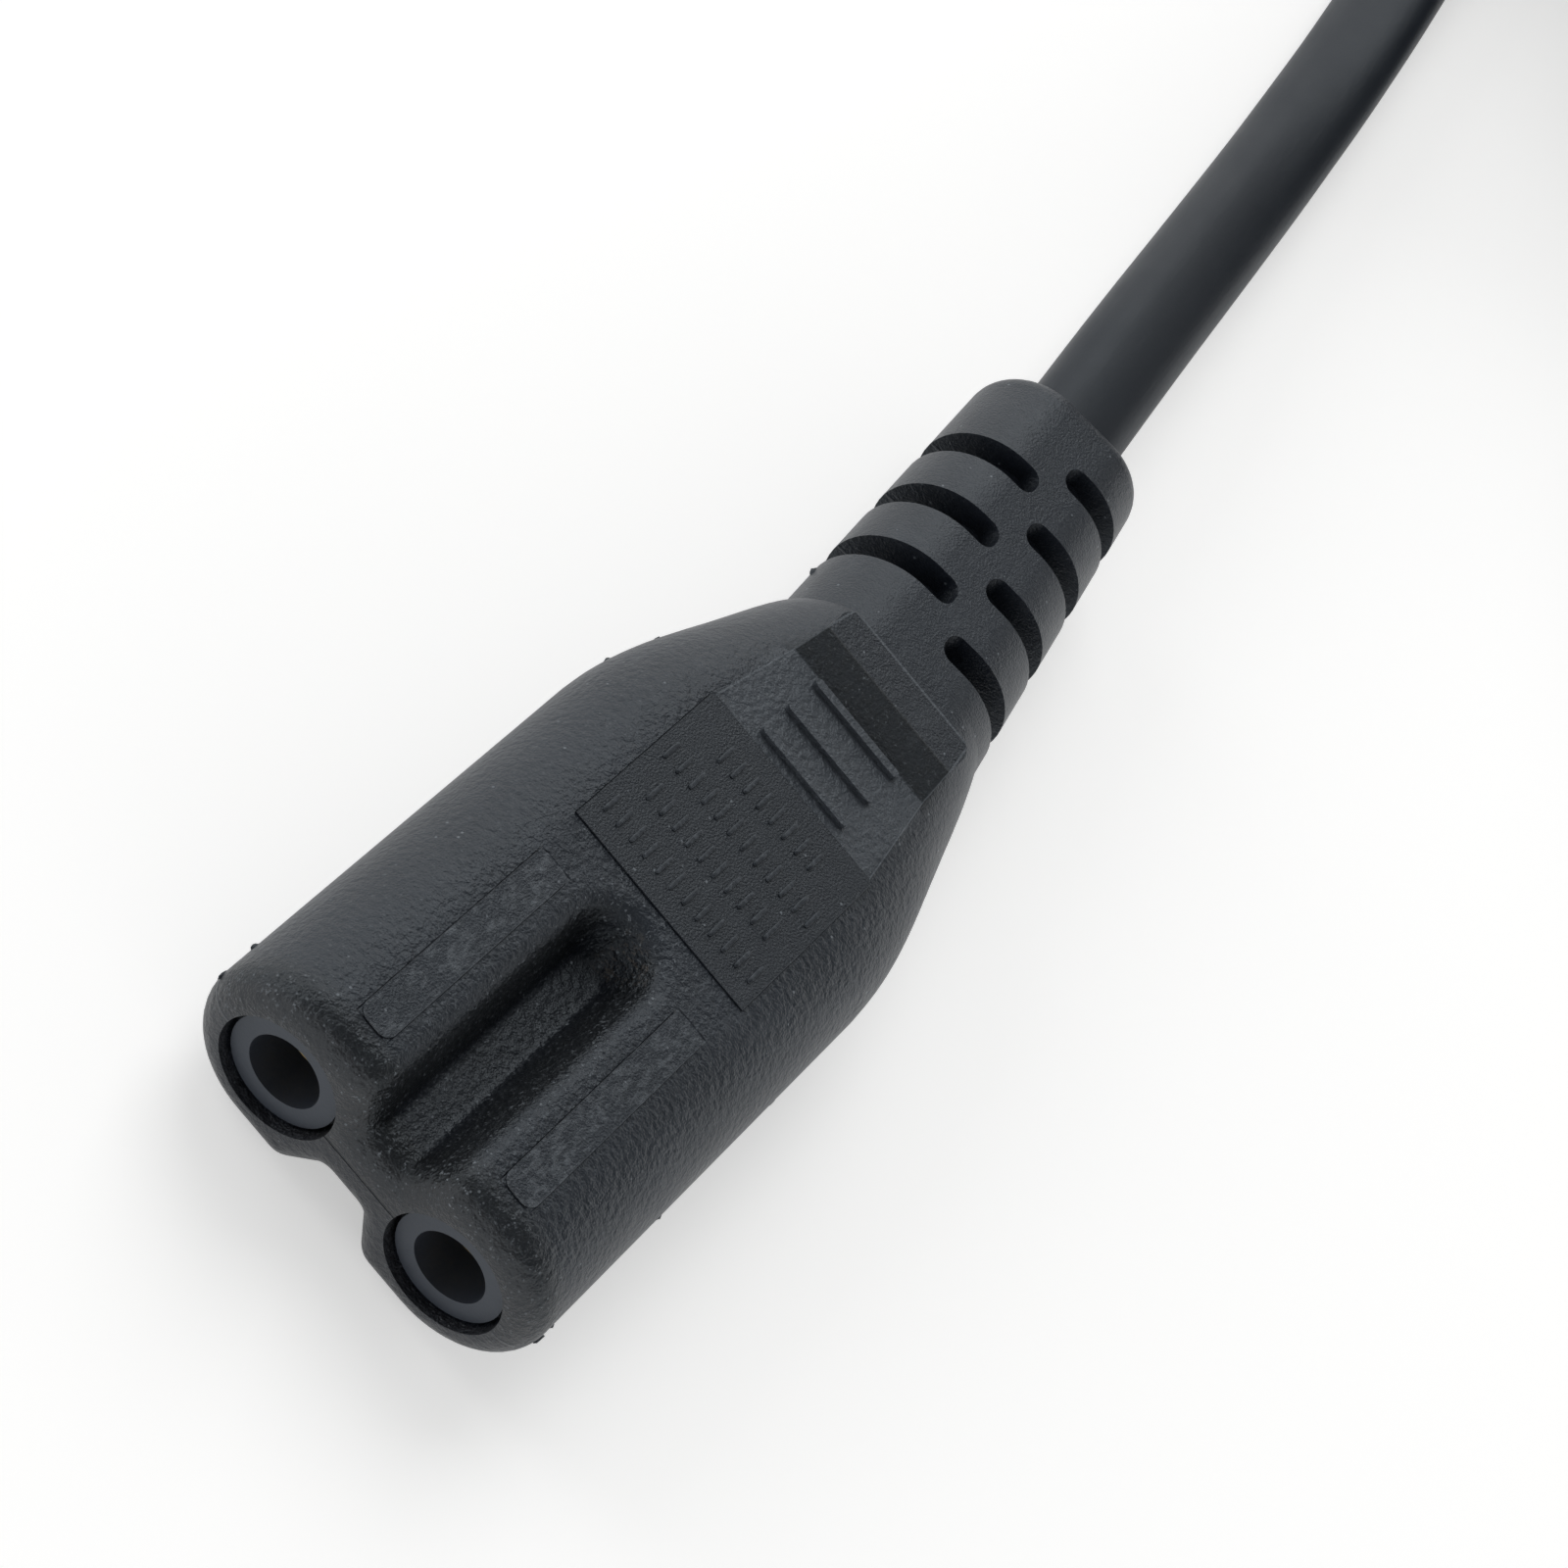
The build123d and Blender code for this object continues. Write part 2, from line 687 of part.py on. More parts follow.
# Moulded housing of the plug, with its strain relief
with BuildPart() as plug_housing:
    with BuildSketch(turned_plane(plug_relief_origin, 0, 0)):
        plug_outline(plug_face_width / 2, plug_face_height / 2)
    extrude(amount=-plug_straight)
    fillet(plug_housing.faces().sort_by(Axis.Y)[0].edges(), plug_face_round)
    with BuildSketch(turned_plane(plug_relief_origin, 0, plug_straight)):
        plug_outline(plug_face_width / 2, plug_face_height / 2)
    for depth, half_width, half_height in plug_stations:
        with BuildSketch(turned_plane(plug_relief_origin, 0, depth)):
            plug_outline(half_width, half_height)
    loft()
    add(relief_body(plug_relief_origin, 0, plug_relief_start))
    add(relief_slots(plug_relief_origin, 0, plug_relief_start), mode=Mode.SUBTRACT)
    add(bridge_outer.part, mode=Mode.SUBTRACT)
    for side, points in plug_cores.items():
        add(pin_envelope(side), mode=Mode.SUBTRACT)
        add(bent_rod(points, core_bend_radius, core_radius), mode=Mode.SUBTRACT)
    add(held_sheath(tail_hold), mode=Mode.SUBTRACT)
plug_housing.part.label = "plug_housing"
export_step(plug_housing.part, "parts/plug_housing.step")
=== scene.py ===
"""Looks of a two-core power lead: its moulded connector, flat cord, tied hank and flat plug.

Everything is in metres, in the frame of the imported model: X across the connector, +Y from its
mating face towards the cord, +Z up, with the floor at zero.
"""

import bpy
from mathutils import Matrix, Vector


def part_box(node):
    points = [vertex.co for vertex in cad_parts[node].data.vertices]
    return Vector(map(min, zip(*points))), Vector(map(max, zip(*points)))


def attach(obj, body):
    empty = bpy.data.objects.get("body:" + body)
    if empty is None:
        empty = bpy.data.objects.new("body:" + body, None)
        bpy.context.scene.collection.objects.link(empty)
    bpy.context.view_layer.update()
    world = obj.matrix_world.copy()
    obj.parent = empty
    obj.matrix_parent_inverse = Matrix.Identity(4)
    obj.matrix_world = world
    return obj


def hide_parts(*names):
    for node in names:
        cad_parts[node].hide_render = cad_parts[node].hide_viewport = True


bl_info = {
    "name": "Power lead looks",
    "version": (1, 0, 0),
    "blender": (4, 5, 0),
    "location": "3D View > Sidebar > Power lead",
    "description": "Lays the cord, finishes the mouldings and lights the power lead",
    "category": "Object",
}

import bpy
import numpy as np
from mathutils import Matrix, Vector

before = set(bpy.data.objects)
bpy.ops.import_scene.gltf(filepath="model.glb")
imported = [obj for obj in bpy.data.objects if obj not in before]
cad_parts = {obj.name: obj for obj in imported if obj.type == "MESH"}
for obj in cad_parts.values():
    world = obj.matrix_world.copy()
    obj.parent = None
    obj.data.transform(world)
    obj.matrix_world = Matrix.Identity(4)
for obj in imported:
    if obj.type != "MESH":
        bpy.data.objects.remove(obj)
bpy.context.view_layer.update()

MM = 0.001
BODY = "root"

# What a plastic's shader is set to all over
COOL_SHEEN = (0.84, 0.93, 1.0)
PLASTIC = {"Specular_IOR_Level": 0.5, "Specular_Tint": COOL_SHEEN}
RUBBER = {"Specular_IOR_Level": 0.4, "Specular_Tint": COOL_SHEEN}

# Connector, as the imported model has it, in millimetres, with depths from the mating face
FRONT_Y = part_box("connector_housing")[0][1] / MM
NOSE_RADIUS = 3.83
PANEL_HALF_WIDTH = 4.55
PANEL_TOP = 2 * NOSE_RADIUS + 0.07
PANEL_START = 14.1
PANEL_END = 22.65
PAD_SIDES = (2.93, 4.43)
PAD_DEPTHS = (1.6, 12.0)
RAMP_DEPTHS = (27.35, 28.8)
CREASE_DEPTHS = (28.72, 28.86)
GRIP_END = 30.6
GRIP_HALF_WIDTH = 4.4
GRIP_TAPER = 0.138

# Fine relief in the materials, in millimetres
SMOOTH_GRAIN = 0.006
SHEATH_LINES = 0.012
TIE_RIDGE_PITCH = 0.55

# Route of the cord, point by point: out of the connector, along the floor and into the hank
SHEATH_START = (-0.34, 8.65, 3.83)
CORD_EXIT = (-2.53, 24.5, 3.83)
RUN_POINTS = [
    (-3.62, 32.4, 3.83),
    (-4.5, 41.0, 2.9),
    (-5.5, 50.2, 2.0),
    (-6.9, 59.9, 1.9),
    (-8.7, 69.7, 2.05),
    (-10.2, 79.7, 2.2),
    (-11.1, 90.2, 2.3),
]

# Where along +Y the cord turns up on edge, and how far past the hank it takes to lie level again
TWIST_RISE = (42.0, 100.0)
TWIST_FALL = 32.0

# Route of the cord from the top of the hank into the plug
TAIL_POINTS = [
    (18.8, 164.0, 13.2),
    (14.9, 156.2, 16.2),
    (9.3, 148.6, 19.1),
    (5.9, 139.3, 20.65),
    (5.9, 129.3, 20.65),
    (5.9, 113.3, 20.65),
]

# Hank: its turns go up the left side, round the far fold, down the right side and round the near one
HANK_X = 5.9
HANK_Y = 136.5
SIDE_HALF = 34.5
FOLD_INNER_RADIUS = 14.4
FOLD_STEP = 3.5
WAIST_INNER = 1.75
WAIST_STEP = 3.2
LAYER_HEIGHT = 4.6
HANK_TURNS = 5.5
SIDE_SHARE = 0.3
FOLD_SHARE = 0.2
COLUMN_MOVES = [(0.88, 1.0, -1.0), (2.68, 2.78, 1.0), (4.5, 4.6, -1.0)]
LAYER_MOVES = [(1.78, 1.88, 1.0), (3.6, 3.68, 1.0)]

# Flecks of flash on the parting line, as seen at the nose, the flank and the strain relief
FLECKS = [
    (8.05, -23.6, 3.8),
    (8.1, -22.9, 3.8),
    (-8.08, -23.9, 3.85),
    (-8.1, -22.2, 3.85),
    (-7.75, -1.9, 3.85),
    (-7.1, 0.6, 3.85),
    (-5.9, 9.2, 3.85),
    (8.1, -16.5, 3.8),
    (8.05, -9.3, 3.8),
]
FLECK_HALF_SIZES = (0.13, 0.22, 0.06)

# Photograph's view: a long lens that looks down along the connector
EYE = Vector((-9.06, -102.09, 119.16)) * MM
VIEW_RIGHT = Vector((0.6383, 0.5484, 0.5401))
VIEW_DOWN = Vector((0.7675, -0.5067, -0.3926))
VIEW_FORWARD = Vector((0.0584, 0.6652, -0.7444))
LENS_OVER_WIDTH = 4200 / 1600
SENSOR_WIDTH = 36.0

# Powers of the superellipses that the cord's section and a raised bar's outline follow
CORD_POWER = 2.5
BAR_POWER = 4.0


class Signal:
    """A socket in a material; arithmetic on it adds Math nodes."""

    def __init__(self, paint, socket):
        self.paint = paint
        self.socket = socket

    def math(self, operation, *values):
        return self.paint.node("ShaderNodeMath", {"operation": operation}, dict(enumerate(values)))

    def __add__(self, other):
        return self.math("ADD", self, other)

    def __radd__(self, other):
        return self.math("ADD", other, self)

    def __sub__(self, other):
        return self.math("SUBTRACT", self, other)

    def __rsub__(self, other):
        return self.math("SUBTRACT", other, self)

    def __mul__(self, other):
        return self.math("MULTIPLY", self, other)

    def __rmul__(self, other):
        return self.math("MULTIPLY", other, self)

    def __abs__(self):
        return self.math("ABSOLUTE", self)

    def __lt__(self, other):
        return self.math("LESS_THAN", self, other)

    def __gt__(self, other):
        return self.math("GREATER_THAN", self, other)

    def at_least(self, value):
        return self.math("MAXIMUM", self, value)

    def at_most(self, value):
        return self.math("MINIMUM", self, value)

    def rise(self, low, high):
        """Smooth step from 0 at low to 1 at high."""
        settings = {"interpolation_type": "SMOOTHSTEP"}
        inputs = {"Value": self, "From Min": low, "From Max": high}
        return self.paint.node("ShaderNodeMapRange", settings, inputs)

    def within(self, low, high, soft):
        """One between low and high, with edges as wide as soft."""
        return self.rise(low - soft / 2, low + soft / 2) * (1 - self.rise(high - soft / 2, high + soft / 2))

    def near(self, value, inner, outer):
        """One within inner of a value, and nothing beyond outer."""
        return 1 - abs(self - value).rise(inner, outer)


class Paint:
    """A material or a world in the making: its node tree, its shader and its coordinates in millimetres."""

    def __init__(self, name, coordinates="Object", kind="materials", shader="Principled BSDF"):
        self.material = getattr(bpy.data, kind).new(name)
        self.material.use_nodes = True
        self.tree = self.material.node_tree
        self.shader = self.tree.nodes[shader]
        place = self.node("ShaderNodeTexCoord", {}, {}, coordinates)
        scale = 1 / MM if coordinates == "Object" else 1.0
        self.place = self.node("ShaderNodeVectorMath", {"operation": "SCALE"}, {0: place, "Scale": scale})
        self.x, self.y, self.z = (
            self.node("ShaderNodeSeparateXYZ", {}, {0: self.place}, axis) for axis in "XYZ"
        )

    def node(self, kind, settings, inputs, output=0):
        """Adds a node: its settings are made first, then its sockets get their values or links."""
        made = self.tree.nodes.new(kind)
        for key, value in settings.items():
            setattr(made, key, value)
        for key, value in inputs.items():
            self.feed(made.inputs[key], value)
        return Signal(self, made.outputs[output])

    def feed(self, socket, value):
        """Links a signal to a socket, or sets the socket's own value."""
        if isinstance(value, Signal):
            self.tree.links.new(value.socket, socket)
        elif socket.type == "RGBA" and len(value) == 3:
            socket.default_value = (*value, 1.0)
        else:
            socket.default_value = value

    def set(self, **inputs):
        """Feeds the shader's sockets, named with underscores for spaces."""
        for key, value in inputs.items():
            self.feed(self.shader.inputs[key.replace("_", " ")], value)

    def stretched(self, x, y, z):
        """Coordinates stretched by one factor for each axis."""
        return self.node("ShaderNodeVectorMath", {"operation": "MULTIPLY"}, {0: self.place, 1: (x, y, z)})

    def noise(self, scale, detail=2.0, roughness=0.5, place=None):
        """Smooth noise, with scale as its cells for each millimetre."""
        inputs = {"Vector": place or self.place, "Scale": scale, "Detail": detail, "Roughness": roughness}
        return self.node("ShaderNodeTexNoise", {}, inputs, "Fac")

    def specks(self, scale, radius, share):
        """Round specks, one in each cell, of which only a share is kept."""
        inputs = {"Vector": self.place, "Scale": scale}
        distance = self.node("ShaderNodeTexVoronoi", {}, inputs, "Distance")
        colour = self.node("ShaderNodeTexVoronoi", {}, inputs, "Color")
        red = self.node("ShaderNodeSeparateColor", {}, {0: colour})
        return (1 - distance.rise(radius * 0.6, radius)) * (red < share)

    def blend(self, factor, first, second):
        """Colour that turns from the first to the second as the factor goes from 0 to 1."""
        return self.node("ShaderNodeMix", {"data_type": "RGBA"}, {0: factor, 6: first, 7: second}, 2)

    def bump(self, height, depth, below=None):
        """Normal of a surface whose height signal of 0 to 1 stands for a depth in millimetres."""
        inputs = {"Height": height, "Distance": depth * MM, "Strength": 1.0}
        if below is not None:
            inputs["Normal"] = below
        return self.node("ShaderNodeBump", {}, inputs)


def srgb(red, green, blue):
    """Linear colour from one in 0 to 255."""
    values = []
    for value in (red, green, blue):
        share = value / 255
        values.append(share / 12.92 if share <= 0.04045 else ((share + 0.055) / 1.055) ** 2.4)
    return tuple(values)


def shaded(colour, factor):
    """A colour made darker or lighter by a factor."""
    return tuple(factor * value for value in colour)


def smooth(value, low, high):
    """Smooth step of numbers from 0 at low to 1 at high."""
    share = np.clip((value - low) / (high - low), 0, 1)
    return share * share * (3 - 2 * share)


def mesh_object(name, vertices, faces, uv=None, smooth_faces=True):
    """Makes a mesh object from vertices in metres, a list of faces and the UV of each corner."""
    mesh = bpy.data.meshes.new(name)
    mesh.from_pydata(vertices.tolist(), [], faces)
    if uv is not None:
        layer = mesh.uv_layers.new(name="UVMap")
        layer.data.foreach_set("uv", uv.reshape(-1).astype(np.float32))
    mesh.polygons.foreach_set("use_smooth", [smooth_faces] * len(mesh.polygons))
    mesh.update()
    made = bpy.data.objects.new(name, mesh)
    bpy.context.scene.collection.objects.link(made)
    return made


def grid_faces(rows, columns, closed):
    """Quads between the points of a grid, row by row, with the last column joined to the first if closed."""
    row = np.arange(rows - 1)[:, None]
    column = np.arange(columns if closed else columns - 1)[None, :]
    following = (column + 1) % columns
    corners = [row * columns + column, row * columns + following]
    corners += [(row + 1) * columns + following, (row + 1) * columns + column]
    return np.stack(np.broadcast_arrays(*corners), -1).reshape(-1, 4)


def ringed_pieces(name, rings, flipped=False, uv=None):
    """Closed pieces from rings of points in metres, with quads between rings and a face at both ends.

    The array counts pieces, rings, points and coordinates. Flipped faces turn the other way.
    """
    count, rows, sides = rings.shape[:3]
    start = np.arange(count)[:, None] * rows * sides
    quads = (start[:, :, None] + grid_faces(rows, sides, True)).reshape(-1, 4).tolist()
    below = start + np.arange(sides)[::-1]
    above = start + (rows - 1) * sides + np.arange(sides)
    faces = quads + below.tolist() + above.tolist()
    if flipped:
        faces = [face[::-1] for face in faces]
    return mesh_object(name, rings.reshape(-1, 3), faces, uv)


def superellipse(count, power):
    """Points round a superellipse with half sizes of one, squarer at a higher power."""
    angle = np.linspace(0, 2 * np.pi, count, endpoint=False)
    circle = np.stack([np.cos(angle), np.sin(angle)], -1)
    return np.sign(circle) * np.abs(circle) ** (2 / power)


def cover(node, paint):
    """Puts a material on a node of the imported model."""
    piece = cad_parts[node]
    piece.data.materials.clear()
    piece.data.materials.append(paint.material)


def hank_points(settings):
    """Points of the hank's turns, in millimetres.

    A turn is a racetrack pinched at its waist. Along a side, the distance from the middle line
    goes from the waist's to the fold's as half a cosine wave; round a fold it is a half circle.
    Columns and layers change with smooth steps over the given stretches of the turns.
    """
    count = int(HANK_TURNS * settings.points_per_turn) + 1
    travel = np.linspace(0, HANK_TURNS, count)
    column = np.ones(count)
    layer = np.full(count, 0.5)
    for start, end, change in COLUMN_MOVES:
        column += change * smooth(travel, start, end)
    for start, end, change in LAYER_MOVES:
        layer += change * smooth(travel, start, end)
    radius = (FOLD_INNER_RADIUS + column * FOLD_STEP) / settings.fold_shrink
    waist = WAIST_INNER + column * WAIST_STEP
    phase = travel % 1.0
    second_half = phase >= 0.5
    within = phase - 0.5 * second_half
    on_side = within < SIDE_SHARE
    reach = SIDE_HALF * (2 * np.minimum(within / SIDE_SHARE, 1) - 1)
    side_distance = waist + (radius - waist) * (1 - np.cos(np.pi * np.abs(reach) / SIDE_HALF)) / 2
    angle = np.pi * (1 - np.clip((within - SIDE_SHARE) / FOLD_SHARE, 0, 1))
    across = np.where(on_side, -side_distance, radius * np.cos(angle))
    along = np.where(on_side, reach, SIDE_HALF + radius * np.sin(angle))
    turned = np.where(second_half, -1.0, 1.0)
    return np.stack([HANK_X + turned * across, HANK_Y + turned * along, layer * LAYER_HEIGHT], -1)


def spline_path(points, resolution):
    """Points along the smooth curve that has the given control points, in metres."""
    curve = bpy.data.curves.new("cord_route", "CURVE")
    curve.dimensions = "3D"
    curve.resolution_u = resolution
    spline = curve.splines.new("NURBS")
    spline.points.add(len(points) - 1)
    weighted = np.concatenate([np.asarray(points) * MM, np.ones((len(points), 1))], 1)
    spline.points.foreach_set("co", weighted.reshape(-1))
    spline.order_u = 3
    spline.use_endpoint_u = True
    route = bpy.data.objects.new("cord_route", curve)
    bpy.context.scene.collection.objects.link(route)
    mesh = bpy.data.meshes.new_from_object(route)
    path = np.empty(len(mesh.vertices) * 3)
    mesh.vertices.foreach_get("co", path)
    bpy.data.objects.remove(route)
    bpy.data.curves.remove(curve)
    bpy.data.meshes.remove(mesh)
    return path.reshape(-1, 3)


def travelled_along(path):
    """Distance travelled along a path up to each of its points."""
    return np.concatenate([[0], np.cumsum(np.linalg.norm(np.diff(path, axis=0), axis=1))])


def flat_tube(name, path, twist, width, thickness, sides):
    """Closed tube with a flat oval section along a path.

    The section is a superellipse. Its width lies level across the path, and is turned up about
    the path by the twist angle of each point. Nothing goes below the floor.
    """
    along = np.gradient(path, axis=0)
    along /= np.linalg.norm(along, axis=1)[:, None]
    level = np.cross(along, [0.0, 0.0, 1.0])
    level /= np.linalg.norm(level, axis=1)[:, None]
    up = np.cross(level, along)
    wide = np.cos(twist)[:, None] * level + np.sin(twist)[:, None] * up
    high = np.cross(wide, along)
    across, tall = (superellipse(sides, CORD_POWER) * np.array([width / 2, thickness / 2])).T
    rings = path[:, None] + across[None, :, None] * wide[:, None] - tall[None, :, None] * high[:, None]
    rings[..., 2] = np.maximum(rings[..., 2], 0.0)
    row = np.arange(len(path) - 1)[:, None]
    column = np.arange(sides)[None, :]
    corner_u = np.stack(np.broadcast_arrays(column, column + 1, column + 1, column), -1) / sides
    corner_v = travelled_along(path)[np.stack(np.broadcast_arrays(row, row, row + 1, row + 1), -1)] / MM
    uv = np.stack(np.broadcast_arrays(corner_u, corner_v), -1).reshape(-1, 2)
    uv = np.concatenate([uv, np.zeros((2 * sides, 2))])
    return ringed_pieces(name, rings[None], uv=uv)


def raised_bars(name, places, half_sizes, height):
    """Low bars with rounded corners and a domed top, from their places and half sizes in millimetres.

    The outline of each is a superellipse, drawn in towards its middle as the height rises.
    """
    drawn = np.array([1.0, 1.0, 0.94, 0.8, 0.5])
    levels = np.array([-0.4, 0.4, 0.8, 0.96, 1.0]) * height
    outline = superellipse(20, BAR_POWER)
    spread = outline[None, None] * drawn[None, :, None, None] * half_sizes[:, None, None, :]
    flat = places[:, None, None, :2] + spread
    high = places[:, None, 2:3] + levels[None, :, None]
    high = np.broadcast_to(high, flat.shape[:3])
    rings = np.concatenate([flat, high[..., None]], -1)
    return ringed_pieces(name, rings * MM)


class PowerLeadStage(bpy.types.PropertyGroup):
    """Floor, lights and camera."""

    floor_size: bpy.props.FloatProperty(
        name="Floor size", description="Side of the floor",
        default=6.0, unit="LENGTH",
    )
    floor_colour: bpy.props.FloatVectorProperty(
        name="Floor colour", description="Colour of the pale floor",
        default=(0.82, 0.82, 0.815), size=3, subtype="COLOR",
    )
    glow: bpy.props.FloatProperty(
        name="Floor glow", description="Light that the floor adds to what the camera sees",
        default=0.44,
    )
    world_strength: bpy.props.FloatProperty(
        name="Room light", description="Strength of the soft light overhead",
        default=0.2,
    )
    horizon_strength: bpy.props.FloatProperty(
        name="Horizon light", description="Strength of the soft light near the horizon",
        default=1.6,
    )
    key_power: bpy.props.FloatProperty(
        name="Main lamp", description="Power of the large lamp behind the cord",
        default=2.4, unit="POWER",
    )
    side_power: bpy.props.FloatProperty(
        name="Side lamp", description="Power of the lamp on the left",
        default=1.2, unit="POWER",
    )


class PowerLeadCord(bpy.types.PropertyGroup):
    """Flat two-core cord."""

    width: bpy.props.FloatProperty(
        name="Width", description="Width of the flat cord",
        default=4.6 * MM, unit="LENGTH",
    )
    thickness: bpy.props.FloatProperty(
        name="Thickness", description="Thickness of the flat cord",
        default=3.0 * MM, unit="LENGTH",
    )
    length: bpy.props.FloatProperty(
        name="Length", description="Real length of the cord",
        default=1.5, unit="LENGTH",
    )
    sides: bpy.props.IntProperty(
        name="Sides", description="Faces round the cord",
        default=28,
    )
    resolution: bpy.props.IntProperty(
        name="Steps", description="Steps along the cord for each point of its route",
        default=8,
    )
    points_per_turn: bpy.props.IntProperty(
        name="Points a turn", description="Points of the route for each turn of the hank",
        default=40,
    )
    fold_shrink: bpy.props.FloatProperty(
        name="Fold shrink", description="How much nearer the curve passes than its points round a fold",
        default=0.981,
    )
    colour: bpy.props.FloatVectorProperty(
        name="Colour", description="Colour of the sheath",
        default=srgb(21, 25, 32), size=3, subtype="COLOR",
    )


class PowerLeadMoulding(bpy.types.PropertyGroup):
    """Moulded plastic of the connector and the plug."""

    colour: bpy.props.FloatVectorProperty(
        name="Colour", description="Colour of the moulded plastic",
        default=srgb(24, 28, 35), size=3, subtype="COLOR",
    )
    panel_colour: bpy.props.FloatVectorProperty(
        name="Panel colour", description="Colour of the smooth panel",
        default=srgb(19, 22, 28), size=3, subtype="COLOR",
    )
    # Pale colour of the dust specks and scuffs, also used for painted highlights: glints, the grip's top
    # edges, the parting line and the floor between the ribs
    dust_and_highlight_colour: bpy.props.FloatVectorProperty(
        name="Speck colour", description="Colour of the pale specks",
        default=srgb(120, 126, 132), size=3, subtype="COLOR",
    )
    gate_colour: bpy.props.FloatVectorProperty(
        name="Gate colour", description="Colour of the scar at the channel's end",
        default=srgb(78, 72, 66), size=3, subtype="COLOR",
    )
    # Painted shade: darkens the channels, their walls, the front rim and the ramp
    shadow_colour: bpy.props.FloatVectorProperty(
        name="Deep colour", description="Colour deep in the channels",
        default=srgb(9, 10, 12), size=3, subtype="COLOR",
    )
    # Painted light: colour of the mating face, lightened for light reflected onto it from the floor
    mating_face_highlight_colour: bpy.props.FloatVectorProperty(
        name="Worn colour", description="Colour of the mating face",
        default=srgb(42, 40, 41), size=3, subtype="COLOR",
    )
    grain_depth: bpy.props.FloatProperty(
        name="Grain depth", description="Depth of the moulded grain",
        default=0.11 * MM, unit="LENGTH",
    )


class PowerLeadMarks(bpy.types.PropertyGroup):
    """Marks that the mould leaves on the connector."""

    row_counts: bpy.props.IntVectorProperty(
        name="Bars a row", description="Number of bars in each row",
        default=(12, 10, 12, 8), size=4,
    )
    first_row: bpy.props.FloatProperty(
        name="First row", description="Distance of the first row from the mating face",
        default=15.6 * MM, unit="LENGTH",
    )
    row_pitch: bpy.props.FloatProperty(
        name="Row pitch", description="Distance between rows",
        default=1.85 * MM, unit="LENGTH",
    )
    bar_pitch: bpy.props.FloatProperty(
        name="Bar pitch", description="Distance between bars",
        default=0.72 * MM, unit="LENGTH",
    )
    bar_half_width: bpy.props.FloatProperty(
        name="Bar half width", description="Half the width of a bar",
        default=0.1 * MM, unit="LENGTH",
    )
    bar_half_length: bpy.props.FloatProperty(
        name="Bar half length", description="Half a bar's length",
        default=0.52 * MM, unit="LENGTH",
    )
    bar_height: bpy.props.FloatProperty(
        name="Bar height", description="How far a bar stands out",
        default=0.1 * MM, unit="LENGTH",
    )
    seed: bpy.props.IntProperty(
        name="Seed", description="Start of the flecks' random sizes",
        default=7,
    )


class PowerLeadMetal(bpy.types.PropertyGroup):
    """Contacts, wires and pins."""

    pin_colour: bpy.props.FloatVectorProperty(
        name="Pin colour", description="Colour of the plated pins",
        default=srgb(214, 210, 200), size=3, subtype="COLOR",
    )
    contact_colour: bpy.props.FloatVectorProperty(
        name="Contact colour", description="Colour of the contacts",
        default=srgb(196, 170, 112), size=3, subtype="COLOR",
    )
    copper_colour: bpy.props.FloatVectorProperty(
        name="Copper colour", description="Colour of the strands",
        default=srgb(205, 126, 88), size=3, subtype="COLOR",
    )


